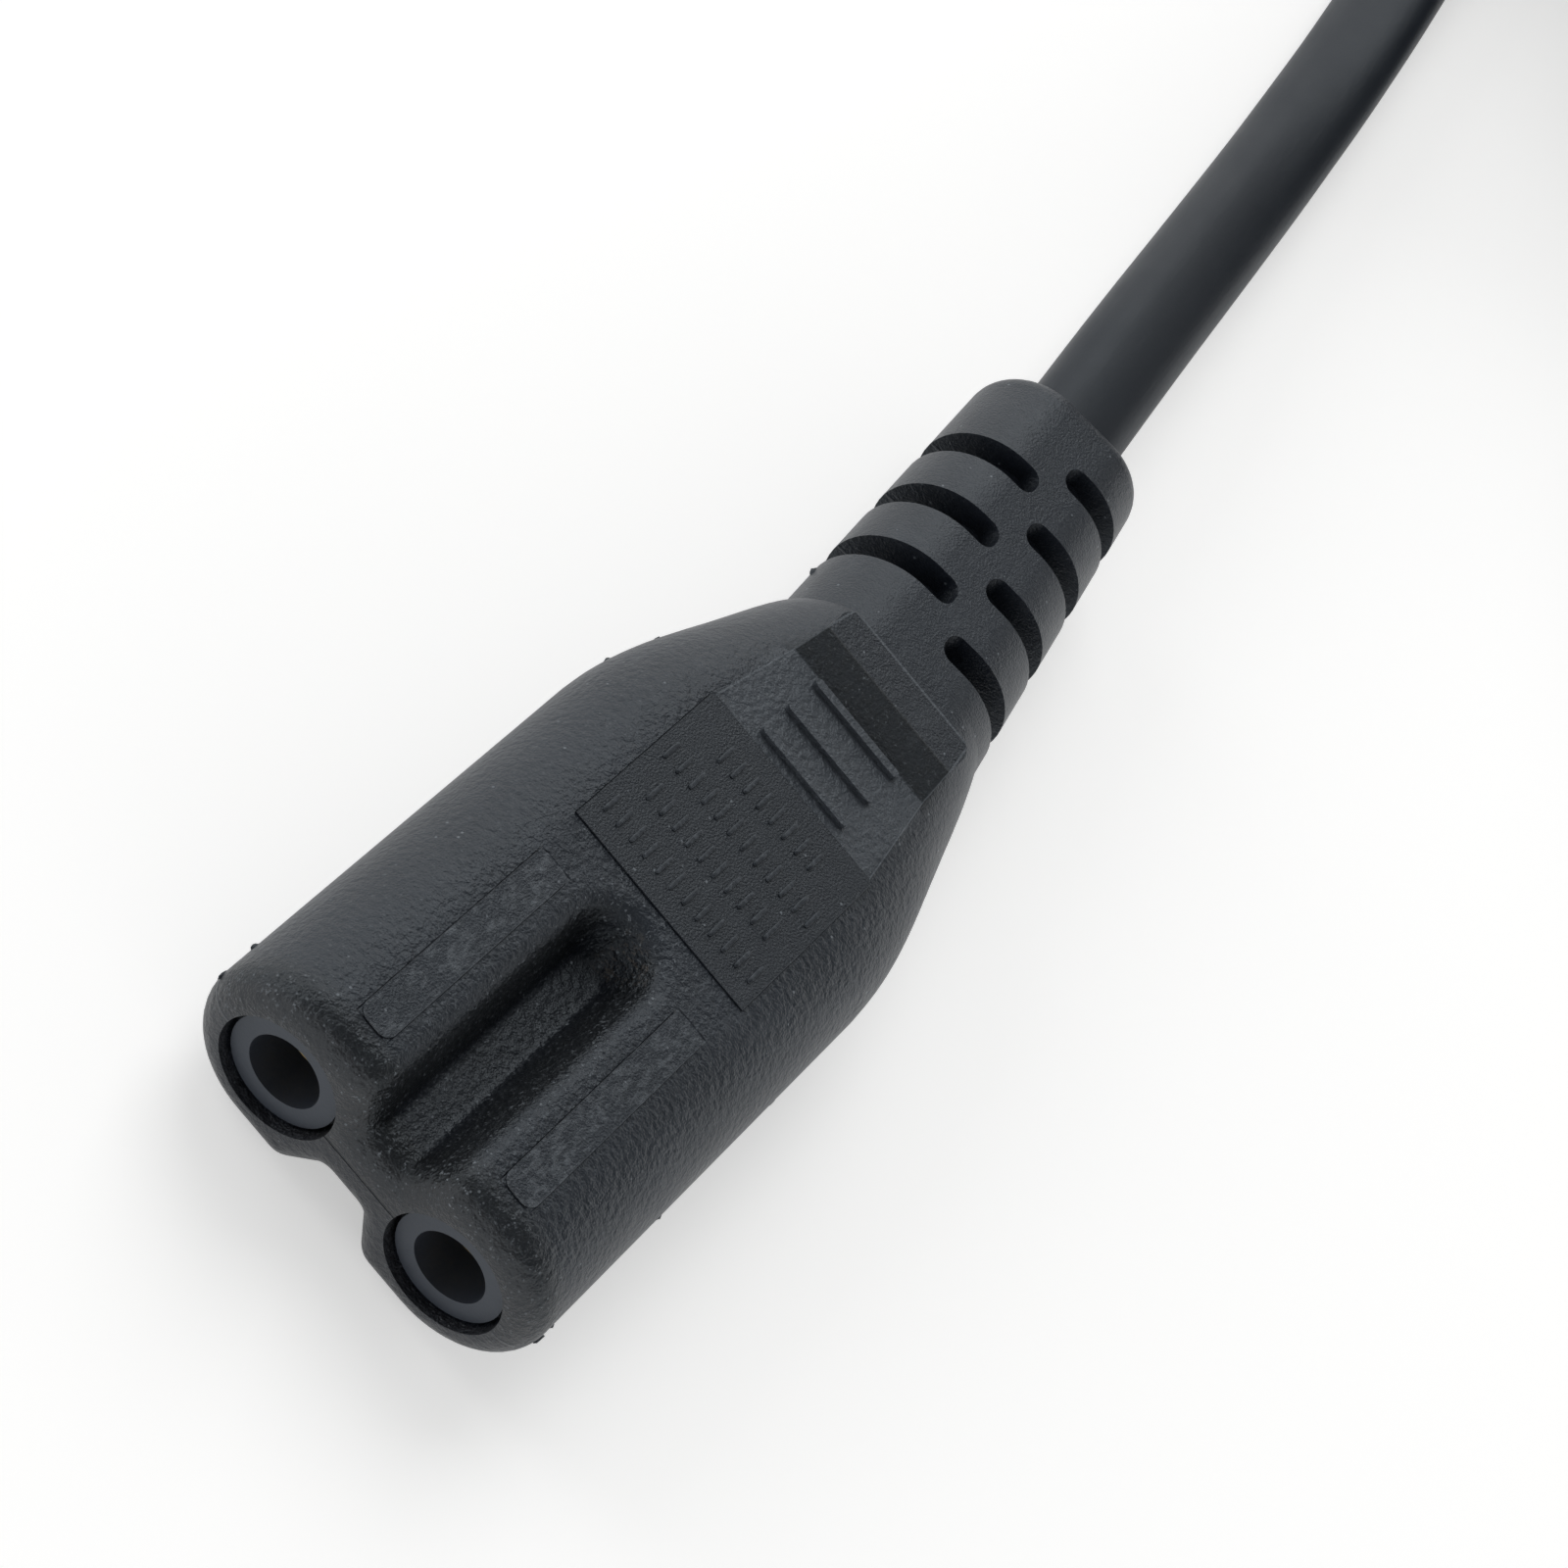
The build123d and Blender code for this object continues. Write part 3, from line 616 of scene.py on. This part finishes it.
class POWERLEAD_OT_stage(bpy.types.Operator):
    """Makes the floor, the soft lights and the camera at the photograph's angle"""

    bl_idname = "power_lead.stage"
    bl_label = "Set the stage"

    def execute(self, context):
        settings = context.scene.power_lead_stage
        self.make_floor(settings)
        self.make_world(settings)
        self.add_lamp("key_lamp", (-0.3, 0.42, 0.6), 0.55, settings.key_power)
        self.add_lamp("side_lamp", (-0.75, -0.05, 0.35), 0.4, settings.side_power)
        self.make_camera(context)
        context.scene.view_settings.view_transform = "Standard"
        return {"FINISHED"}

    def make_floor(self, settings):
        """A flat square whose colour, seen by the camera, is close to white but keeps the shadows."""
        half = settings.floor_size / 2
        corners = np.array([(-half, -half, 0), (half, -half, 0), (half, half, 0), (-half, half, 0)])
        floor = mesh_object("floor", corners, [[0, 1, 2, 3]], smooth_faces=False)
        paint = Paint("floor_paint")
        mottle = paint.noise(0.02, 3.0)
        colour = paint.blend(mottle, shaded(settings.floor_colour, 0.985), settings.floor_colour)
        paint.set(Base_Color=colour, Roughness=0.9, Specular_IOR_Level=0.1)
        seen_by = [
            paint.node("ShaderNodeLightPath", {}, {}, f"Is {kind} Ray")
            for kind in ("Camera", "Glossy", "Transmission")
        ]
        glow = paint.node("ShaderNodeEmission", {}, {"Color": (1.0, 1.0, 0.995), "Strength": settings.glow})
        share = (seen_by[0] + seen_by[1] + seen_by[2]).at_most(1.0)
        shader = Signal(paint, paint.shader.outputs[0])
        mixed = paint.node("ShaderNodeAddShader", {}, {0: shader, 1: glow})
        both = paint.node("ShaderNodeMixShader", {}, {0: share, 1: shader, 2: mixed})
        paint.feed(paint.tree.nodes["Material Output"].inputs["Surface"], both)
        floor.data.materials.append(paint.material)

    def make_world(self, settings):
        """Pale light from all round, brighter near the horizon than overhead."""
        paint = Paint("soft_room", "Generated", "worlds", "Background")
        bpy.context.scene.world = paint.material
        overhead = paint.z.rise(0.0, 0.68)
        change = settings.world_strength - settings.horizon_strength
        strength = settings.horizon_strength + overhead * change
        paint.set(Color=(1.0, 1.0, 1.0), Strength=strength)

    def add_lamp(self, name, place, size, power):
        """A square area lamp that looks at the connector."""
        lamp = bpy.data.lights.new(name, "AREA")
        lamp.size = size
        lamp.energy = power
        holder = bpy.data.objects.new(name, lamp)
        holder.location = place
        holder.rotation_euler = (-Vector(place)).to_track_quat("-Z", "Y").to_euler()
        bpy.context.scene.collection.objects.link(holder)

    def make_camera(self, context):
        """The photograph's viewpoint, direction and angle of view."""
        camera = bpy.data.cameras.new("photo_camera")
        camera.sensor_width = SENSOR_WIDTH
        camera.lens = SENSOR_WIDTH * LENS_OVER_WIDTH
        camera.clip_start = 0.01
        camera.clip_end = 20.0
        holder = bpy.data.objects.new("photo_camera", camera)
        turn = Matrix((VIEW_RIGHT, -VIEW_DOWN, -VIEW_FORWARD)).transposed()
        holder.matrix_world = Matrix.Translation(EYE) @ turn.to_4x4()
        context.scene.collection.objects.link(holder)
        context.scene.camera = holder


class POWERLEAD_OT_lay_cord(bpy.types.Operator):
    """Lays the flat cord from the connector to the hank and on to the plug"""

    bl_idname = "power_lead.lay_cord"
    bl_label = "Lay the cord"

    def execute(self, context):
        settings = context.scene.power_lead_cord
        turns = hank_points(settings)
        control = np.concatenate([[SHEATH_START, CORD_EXIT], RUN_POINTS, turns, TAIL_POINTS])
        path = spline_path(control, settings.resolution)
        twist = self.twist_along(path / MM)
        cord = flat_tube("power_cord", path, twist, settings.width, settings.thickness, settings.sides)
        cord.data.materials.append(self.sheath_paint(settings).material)
        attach(cord, BODY)
        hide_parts("cord_run", "cord_hank", "cord_tail")
        return {"FINISHED"}

    def twist_along(self, path):
        """Twist of the cord: level at the connector, on edge in the hank, level again at the plug."""
        rising = smooth(path[:, 1], *TWIST_RISE)
        in_hank = np.arange(len(path)) >= np.argmax(path[:, 1] > TWIST_RISE[1])
        tail_start = np.argmin(np.linalg.norm(path - np.array(TAIL_POINTS[0]), axis=1))
        past_hank = travelled_along(path)
        past_hank -= past_hank[tail_start]
        falling = 1 - smooth(past_hank, 0.0, TWIST_FALL)
        return np.pi / 2 * np.where(in_hank, falling, rising)

    def sheath_paint(self, settings):
        """Satin sheath: fine lines drawn along it and a soft mottle."""
        paint = Paint("cord_sheath_paint", "UV")
        around = paint.x * 26.0
        along = paint.y
        place = paint.node("ShaderNodeCombineXYZ", {}, {"X": around, "Y": along * 0.25, "Z": 0.0})
        lines = paint.noise(2.2, 3.0, 0.6, place)
        fine_place = paint.node("ShaderNodeCombineXYZ", {}, {"X": around, "Y": along, "Z": 3.0})
        fine = paint.noise(7.0, 2.0, 0.5, fine_place)
        mottle = paint.noise(0.35, 2.0, 0.5, fine_place)
        dark = shaded(settings.colour, 0.86)
        light = shaded(settings.colour, 1.12)
        colour = paint.blend(mottle * 0.7 + lines * 0.3, dark, light)
        height = lines * 0.7 + fine * 0.3
        paint.set(
            Base_Color=colour,
            Roughness=0.4 + mottle * 0.12 + fine * 0.06,
            Normal=paint.bump(height, SHEATH_LINES),
            **RUBBER,
        )
        return paint


class POWERLEAD_OT_finish_connector(bpy.types.Operator):
    """Finishes the connector's moulded housing and its contact carrier"""

    bl_idname = "power_lead.finish_connector"
    bl_label = "Finish the connector"

    def execute(self, context):
        settings = context.scene.power_lead_moulding
        cover("connector_housing", self.housing_paint(settings))
        cover("contact_carrier", self.carrier_paint())
        return {"FINISHED"}

    def housing_paint(self, settings):
        """Grained barrels, smooth pads and panel, a rough ramp and a satin relief, with painted shade in the
        channels, on the front rim, the ramp and the crease, and painted highlights on the mating face, the
        grip's top edges, the parting line, the floor between the ribs and as glints.
        """
        paint = Paint("connector_moulding_paint")
        depth = paint.y - FRONT_Y
        side = abs(paint.x)
        top = paint.z.rise(2 * NOSE_RADIUS - 0.7, 2 * NOSE_RADIUS - 0.35)
        pads = side.within(*PAD_SIDES, 0.06) * depth.within(*PAD_DEPTHS, 0.1) * top
        panel = (1 - side.rise(PANEL_HALF_WIDTH - 0.03, PANEL_HALF_WIDTH + 0.03)) * top
        panel = panel * depth.within(PANEL_START, PANEL_END, 0.06)
        grip = (1 - side.rise(3.9, 4.45)) * top * depth.within(PANEL_END, GRIP_END, 0.1)
        ramp = grip * depth.within(*RAMP_DEPTHS, 0.15)
        crease = grip * depth.within(*CREASE_DEPTHS, 0.05)
        grip_half = GRIP_HALF_WIDTH - (depth.at_least(PANEL_END) - PANEL_END) * GRIP_TAPER
        side_edges = side.near(grip_half, 0.02, 0.07) * depth.within(PANEL_END, GRIP_END - 0.2, 0.2)
        end_edge = depth.within(GRIP_END - 0.2, GRIP_END - 0.08, 0.04) * (1 - side.rise(3.4, 3.6))
        # Painted highlight along the grip's top edges
        edge_highlight_mask = (side_edges + end_edge) * paint.z.rise(6.9, 7.2)
        channel = (1 - side.rise(2.3, 2.9)) * (1 - depth.rise(13.3, 14.0)) * depth.rise(0.1, 0.6)
        channel = channel * (1 - paint.z.rise(7.1, 7.7))
        wall = channel * side.rise(0.75, 1.25)
        side_lips = side.within(1.7, 3.1, 0.8) * paint.z.within(6.2, 7.7, 0.5) * (1 - depth.rise(13.6, 14.4))
        end_lip = (1 - side.rise(1.6, 2.6)) * depth.within(12.6, 14.1, 0.7)
        ledge = grip * depth.rise(RAMP_DEPTHS[1], RAMP_DEPTHS[1] + 0.1)
        relief = depth.rise(24.0, 31.5)
        front = 1 - depth.rise(0.3, 0.6)
        rim = (1 - depth.rise(0.9, 2.1)) * paint.z.rise(2.5, 5.0)
        parting = paint.z.near(NOSE_RADIUS, 0.03, 0.09) * side.rise(2.3, 2.6)
        seam = paint.z.near(NOSE_RADIUS, 0.04, 0.1) * (1 - side.rise(2.1, 2.3)) * (1 - depth.rise(1.0, 1.2))

        grain = paint.noise(3.4, 2.0, 0.55)
        fine_grain = paint.noise(11.0, 2.0, 0.5)
        wide = paint.noise(0.22, 3.0, 0.55)
        smudge = paint.noise(0.9, 3.0, 0.6, paint.stretched(1.0, 0.35, 1.0))
        specks = paint.specks(1.5, 0.1, 0.55)
        fine_specks = paint.specks(3.6, 0.2, 0.35)
        # Painted glints: pale dots on the grain that stand in for sparkles of light
        glints = paint.noise(7.5, 2.0, 0.6).rise(0.56, 0.7) * grain.rise(0.42, 0.62)
        scuffs = paint.noise(4.2, 4.0, 0.7, paint.stretched(1.0, 0.5, 1.0)).rise(0.46, 0.7)
        rough = 1 - (pads + panel + relief * 0.75).at_most(1.0)
        ribs_floor = (grip - ramp - ledge).at_least(0.0)

        dark = shaded(settings.colour, 0.88)
        light = shaded(settings.colour, 1.14)
        colour = paint.blend(wide.rise(0.3, 0.7), dark, light)
        colour = paint.blend(panel * 0.85 + ledge * 0.8, colour, settings.panel_colour)
        # Painted highlight: the floor between the grip's ribs is lightened towards the pale colour, for
        # light that it reflects
        colour = paint.blend(ribs_floor * 0.16, colour, settings.dust_and_highlight_colour)
        # Painted shade in the channels, on their walls and on the front rim
        colour = paint.blend(channel * 0.35 + wall * 0.55 + rim * 0.8, colour, settings.shadow_colour)
        # Painted light: the mating face is lightened for light reflected onto it from the floor
        colour = paint.blend(front * 0.5, colour, settings.mating_face_highlight_colour)
        # Painted shade on the ramp, which faces away from the lamps, broken up by the grain
        colour = paint.blend(ramp * (grain.rise(0.45, 0.6) * 0.3 + 0.65), colour, settings.shadow_colour)
        # Painted shade in the crease between the ramp and the ledge
        colour = paint.blend(crease * 0.9, colour, srgb(4, 4, 5))
        scuffed = pads * scuffs * 0.3 + smudge.rise(0.55, 0.75) * 0.05
        colour = paint.blend(scuffed, colour, settings.dust_and_highlight_colour)
        # Painted highlights: the grip's top edges and the parting line are lightened towards the pale colour
        colour = paint.blend(edge_highlight_mask * 0.32 + parting * 0.12, colour, settings.dust_and_highlight_colour)
        # Painted glints, strongest in the channels, on the rim, the ramp and the channel's lips
        glint_share = rough * 0.14 + (channel + rim) * 0.3 + ramp * 0.22 + (side_lips + end_lip) * 0.4
        colour = paint.blend(glints * glint_share, colour, settings.dust_and_highlight_colour)
        dusty = specks * 0.6 + fine_specks * (rough * 0.16 + rim * 0.25)
        colour = paint.blend(dusty, colour, settings.dust_and_highlight_colour)
        colour = paint.blend(self.gate_mask(paint, depth), colour, settings.gate_colour)
        colour = paint.blend(seam * 0.9, colour, srgb(18, 18, 20))

        height = grain * rough + fine_grain * 0.35 + ramp * paint.noise(7.0, 3.0, 0.7) * 0.8
        height = height + parting * 0.4 + pads * scuffs * 0.15 - seam * 1.2
        roughness = 0.38 + rough * 0.05 + (smudge - 0.5) * 0.16 + ramp * 0.2 - front * 0.03
        normal = paint.bump(height, settings.grain_depth / MM)
        normal = paint.bump(wide, 0.05, normal)
        paint.set(Base_Color=colour, Roughness=roughness, Normal=normal, **PLASTIC)
        return paint

    def gate_mask(self, paint, depth):
        """Ragged patch where the moulding was fed, on the channel's end wall."""
        from_middle = abs(paint.x - 0.75).rise(0.6, 1.25)
        patch = (1 - from_middle) * depth.within(11.9, 13.3, 0.4) * paint.z.within(5.4, 7.3, 0.5)
        ragged = paint.noise(5.0, 4.0, 0.75, paint.stretched(0.6, 1.0, 1.0)).rise(0.5, 0.64)
        return patch * ragged * 0.7

    def carrier_paint(self):
        """Smooth blue-grey insert, a little lighter than the housing."""
        paint = Paint("contact_carrier_paint")
        wide = paint.noise(0.8, 2.0)
        fine = paint.noise(9.0, 2.0)
        colour = paint.blend(wide, srgb(44, 48, 56), srgb(54, 58, 66))
        normal = paint.bump(fine, SMOOTH_GRAIN)
        paint.set(Base_Color=colour, Roughness=0.4 + fine * 0.1, Normal=normal, **PLASTIC)
        return paint


class POWERLEAD_OT_mould_marks(bpy.types.Operator):
    """Adds plain raised bars on the panel and flecks of flash on the parting line"""

    bl_idname = "power_lead.mould_marks"
    bl_label = "Add the mould marks"

    def execute(self, context):
        settings = context.scene.power_lead_marks
        paint = self.mark_paint(context.scene.power_lead_moulding)
        places, half_sizes = self.bar_places(settings)
        bars = raised_bars("panel_bars", self.settled(places), half_sizes, settings.bar_height / MM)
        flash = self.flash_flecks(settings, self.settled(np.array(FLECKS)))
        for piece in (bars, flash):
            piece.data.materials.append(paint.material)
            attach(piece, BODY)
        return {"FINISHED"}

    def settled(self, places):
        """Places in millimetres, moved to the nearest point of the housing."""
        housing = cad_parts["connector_housing"]
        nearest = []
        for place in places:
            found, point, _, _ = housing.closest_point_on_mesh(Vector(place) * MM)
            if not found:
                raise RuntimeError("a mould mark finds no housing to sit on")
            nearest.append(point / MM)
        return np.array(nearest)

    def bar_places(self, settings):
        """Rows of upright bars across the panel."""
        counts = np.array(settings.row_counts)
        row = np.repeat(np.arange(len(counts)), counts)
        bar = np.concatenate([np.arange(count) - (count - 1) / 2 for count in counts])
        across = bar * settings.bar_pitch / MM
        depth = FRONT_Y + (settings.first_row + row * settings.row_pitch) / MM
        places = np.stack([across, depth, np.full(len(depth), PANEL_TOP)], -1)
        half_sizes = np.array([settings.bar_half_width, settings.bar_half_length]) / MM
        return places, np.tile(half_sizes, (len(depth), 1))

    def flash_flecks(self, settings, places):
        """Crumbs of flash: unit spheres squashed, dented by two sine waves and set on the parting line."""
        random = np.random.default_rng(settings.seed)
        down = np.linspace(0, np.pi, 7)[1:-1, None]
        turn = np.linspace(0, 2 * np.pi, 9)[None, :-1]
        down, turn = np.broadcast_arrays(down, turn)
        ball = np.stack([np.sin(down) * np.cos(turn), np.sin(down) * np.sin(turn), np.cos(down)], -1)
        count = len(places)
        size = random.uniform(0.6, 1.3, (count, 1, 1, 3)) * np.array(FLECK_HALF_SIZES)
        shift = random.uniform(0, 6, (count, 1, 1))
        dents = 1 + 0.3 * np.sin(3 * turn[None] + shift) * np.sin(2 * down[None] + 2 * shift)
        rings = places[:, None, None] + ball[None] * dents[..., None] * size
        return ringed_pieces("mould_flash", rings * MM, flipped=True)

    def mark_paint(self, settings):
        """The moulding's plastic with a fine mottle and a little dust, for bars and flecks alike."""
        paint = Paint("mould_mark_paint")
        fine = paint.noise(6.0, 3.0)
        worn = paint.noise(0.8, 2.0)
        colour = paint.blend(fine, settings.panel_colour, settings.colour)
        colour = paint.blend(worn * fine.rise(0.45, 0.65) * 0.3, colour, settings.dust_and_highlight_colour)
        paint.set(
            Base_Color=colour,
            Roughness=0.42 + fine * 0.15,
            Normal=paint.bump(fine, 0.02),
            **PLASTIC,
        )
        return paint


class POWERLEAD_OT_finish_plug(bpy.types.Operator):
    """Finishes the plug's moulding, its bridge, its sleeves and the tie of the hank"""

    bl_idname = "power_lead.finish_plug"
    bl_label = "Finish the plug"

    def execute(self, context):
        settings = context.scene.power_lead_moulding
        cover("plug_housing", self.plug_paint(settings))
        cover("pin_bridge", self.smooth_paint("pin_bridge_paint", srgb(60, 64, 70), 0.45))
        sleeves = self.smooth_paint("pin_sleeve_paint", srgb(30, 31, 34), 0.35)
        for side in ("left", "right"):
            cover(f"pin_sleeve_{side}", sleeves)
        cover("hank_tie", self.tie_paint())
        browns = self.smooth_paint("core_brown_paint", srgb(112, 76, 48), 0.4)
        blues = self.smooth_paint("core_blue_paint", srgb(58, 98, 168), 0.4)
        for end in ("connector", "plug"):
            cover(f"{end}_core_left", browns)
            cover(f"{end}_core_right", blues)
        return {"FINISHED"}

    def plug_paint(self, settings):
        """The same grained plastic as the connector's, with a smoother relief."""
        paint = Paint("plug_moulding_paint")
        relief = paint.y.rise(134.0, 138.0)
        grain = paint.noise(3.4, 2.0, 0.55)
        fine_grain = paint.noise(11.0, 2.0, 0.5)
        wide = paint.noise(0.2, 3.0, 0.55)
        specks = paint.specks(1.5, 0.075, 0.35)
        dark = shaded(settings.colour, 0.88)
        light = shaded(settings.colour, 1.14)
        colour = paint.blend(wide.rise(0.3, 0.7), dark, light)
        colour = paint.blend(specks * 0.5, colour, settings.dust_and_highlight_colour)
        height = grain * (1 - relief * 0.75) + fine_grain * 0.25
        normal = paint.bump(height, settings.grain_depth / MM)
        paint.set(Base_Color=colour, Roughness=0.42 + (wide - 0.5) * 0.15, Normal=normal, **PLASTIC)
        return paint

    def smooth_paint(self, name, colour, roughness):
        """Smooth plastic with a faint mottle and a trace of texture."""
        paint = Paint(name)
        wide = paint.noise(0.6, 3.0)
        fine = paint.noise(8.0, 2.0)
        darker = shaded(colour, 0.85)
        paint.set(
            Base_Color=paint.blend(wide, darker, colour),
            Roughness=roughness + fine * 0.1,
            Normal=paint.bump(fine, SMOOTH_GRAIN),
            **PLASTIC,
        )
        return paint

    def tie_paint(self):
        """Ribbed plastic band: its ridges are a sine wave along the hank."""
        paint = Paint("hank_tie_paint")
        phase = paint.y * (2 * np.pi / TIE_RIDGE_PITCH)
        ridges = phase.math("SINE", phase) * 0.5 + 0.5
        mottle = paint.noise(0.8, 3.0)
        colour = paint.blend(mottle, srgb(26, 26, 28), srgb(38, 38, 41))
        normal = paint.bump(ridges, 0.05)
        paint.set(Base_Color=colour, Roughness=0.45 + mottle * 0.1, Normal=normal, **PLASTIC)
        return paint


class POWERLEAD_OT_finish_metal(bpy.types.Operator):
    """Finishes the contacts, the wires and the pins"""

    bl_idname = "power_lead.finish_metal"
    bl_label = "Finish the metal"

    def execute(self, context):
        settings = context.scene.power_lead_metal
        pins = self.metal_paint("pin_paint", settings.pin_colour, 0.2, (1.5, 14.0, 1.5))
        contacts = self.metal_paint("contact_paint", settings.contact_colour, 0.3, (3.0, 3.0, 3.0))
        copper = self.metal_paint("copper_paint", settings.copper_colour, 0.35, (9.0, 0.8, 9.0))
        for side in ("left", "right"):
            cover(f"pin_{side}", pins)
            cover(f"contact_{side}", contacts)
            for end in ("connector", "plug"):
                cover(f"{end}_wire_{side}", copper)
        return {"FINISHED"}

    def metal_paint(self, name, colour, roughness, stretch):
        """Bare metal with fine marks along one direction and a faint tarnish."""
        paint = Paint(name)
        marks = paint.noise(1.0, 3.0, 0.6, paint.stretched(*stretch))
        tarnish = paint.noise(0.5, 3.0)
        darker = shaded(colour, 0.78)
        paint.set(
            Base_Color=paint.blend(tarnish.rise(0.4, 0.7), colour, darker),
            Metallic=1.0,
            Roughness=roughness + marks * 0.18,
            Normal=paint.bump(marks, SMOOTH_GRAIN),
        )
        return paint


class POWERLEAD_PT_panel(bpy.types.Panel):
    """Lists the steps that finish the power lead"""

    bl_idname = "POWERLEAD_PT_panel"
    bl_label = "Power lead"
    bl_space_type = "VIEW_3D"
    bl_region_type = "UI"
    bl_category = "Power lead"

    def draw(self, context):
        for operator in OPERATORS:
            self.layout.operator(operator.bl_idname)
        for name, _ in SETTINGS:
            group = getattr(context.scene, name)
            box = self.layout.box()
            for key in group.__annotations__:
                box.prop(group, key)


OPERATORS = (
    POWERLEAD_OT_stage,
    POWERLEAD_OT_lay_cord,
    POWERLEAD_OT_finish_connector,
    POWERLEAD_OT_mould_marks,
    POWERLEAD_OT_finish_plug,
    POWERLEAD_OT_finish_metal,
)
SETTINGS = (
    ("power_lead_stage", PowerLeadStage),
    ("power_lead_cord", PowerLeadCord),
    ("power_lead_moulding", PowerLeadMoulding),
    ("power_lead_marks", PowerLeadMarks),
    ("power_lead_metal", PowerLeadMetal),
)


def register():
    """Registers the settings, the operators and the panel."""
    for name, group in SETTINGS:
        bpy.utils.register_class(group)
        setattr(bpy.types.Scene, name, bpy.props.PointerProperty(type=group))
    for operator in OPERATORS:
        bpy.utils.register_class(operator)
    bpy.utils.register_class(POWERLEAD_PT_panel)


def unregister():
    """Takes away what register added."""
    bpy.utils.unregister_class(POWERLEAD_PT_panel)
    for operator in reversed(OPERATORS):
        bpy.utils.unregister_class(operator)
    for name, group in reversed(SETTINGS):
        delattr(bpy.types.Scene, name)
        bpy.utils.unregister_class(group)


def main():
    """Builds the looks step by step."""
    register()
    bpy.ops.power_lead.stage()
    bpy.ops.power_lead.lay_cord()
    bpy.ops.power_lead.finish_connector()
    bpy.ops.power_lead.mould_marks()
    bpy.ops.power_lead.finish_plug()
    bpy.ops.power_lead.finish_metal()


if __name__ == "__main__":
    main()
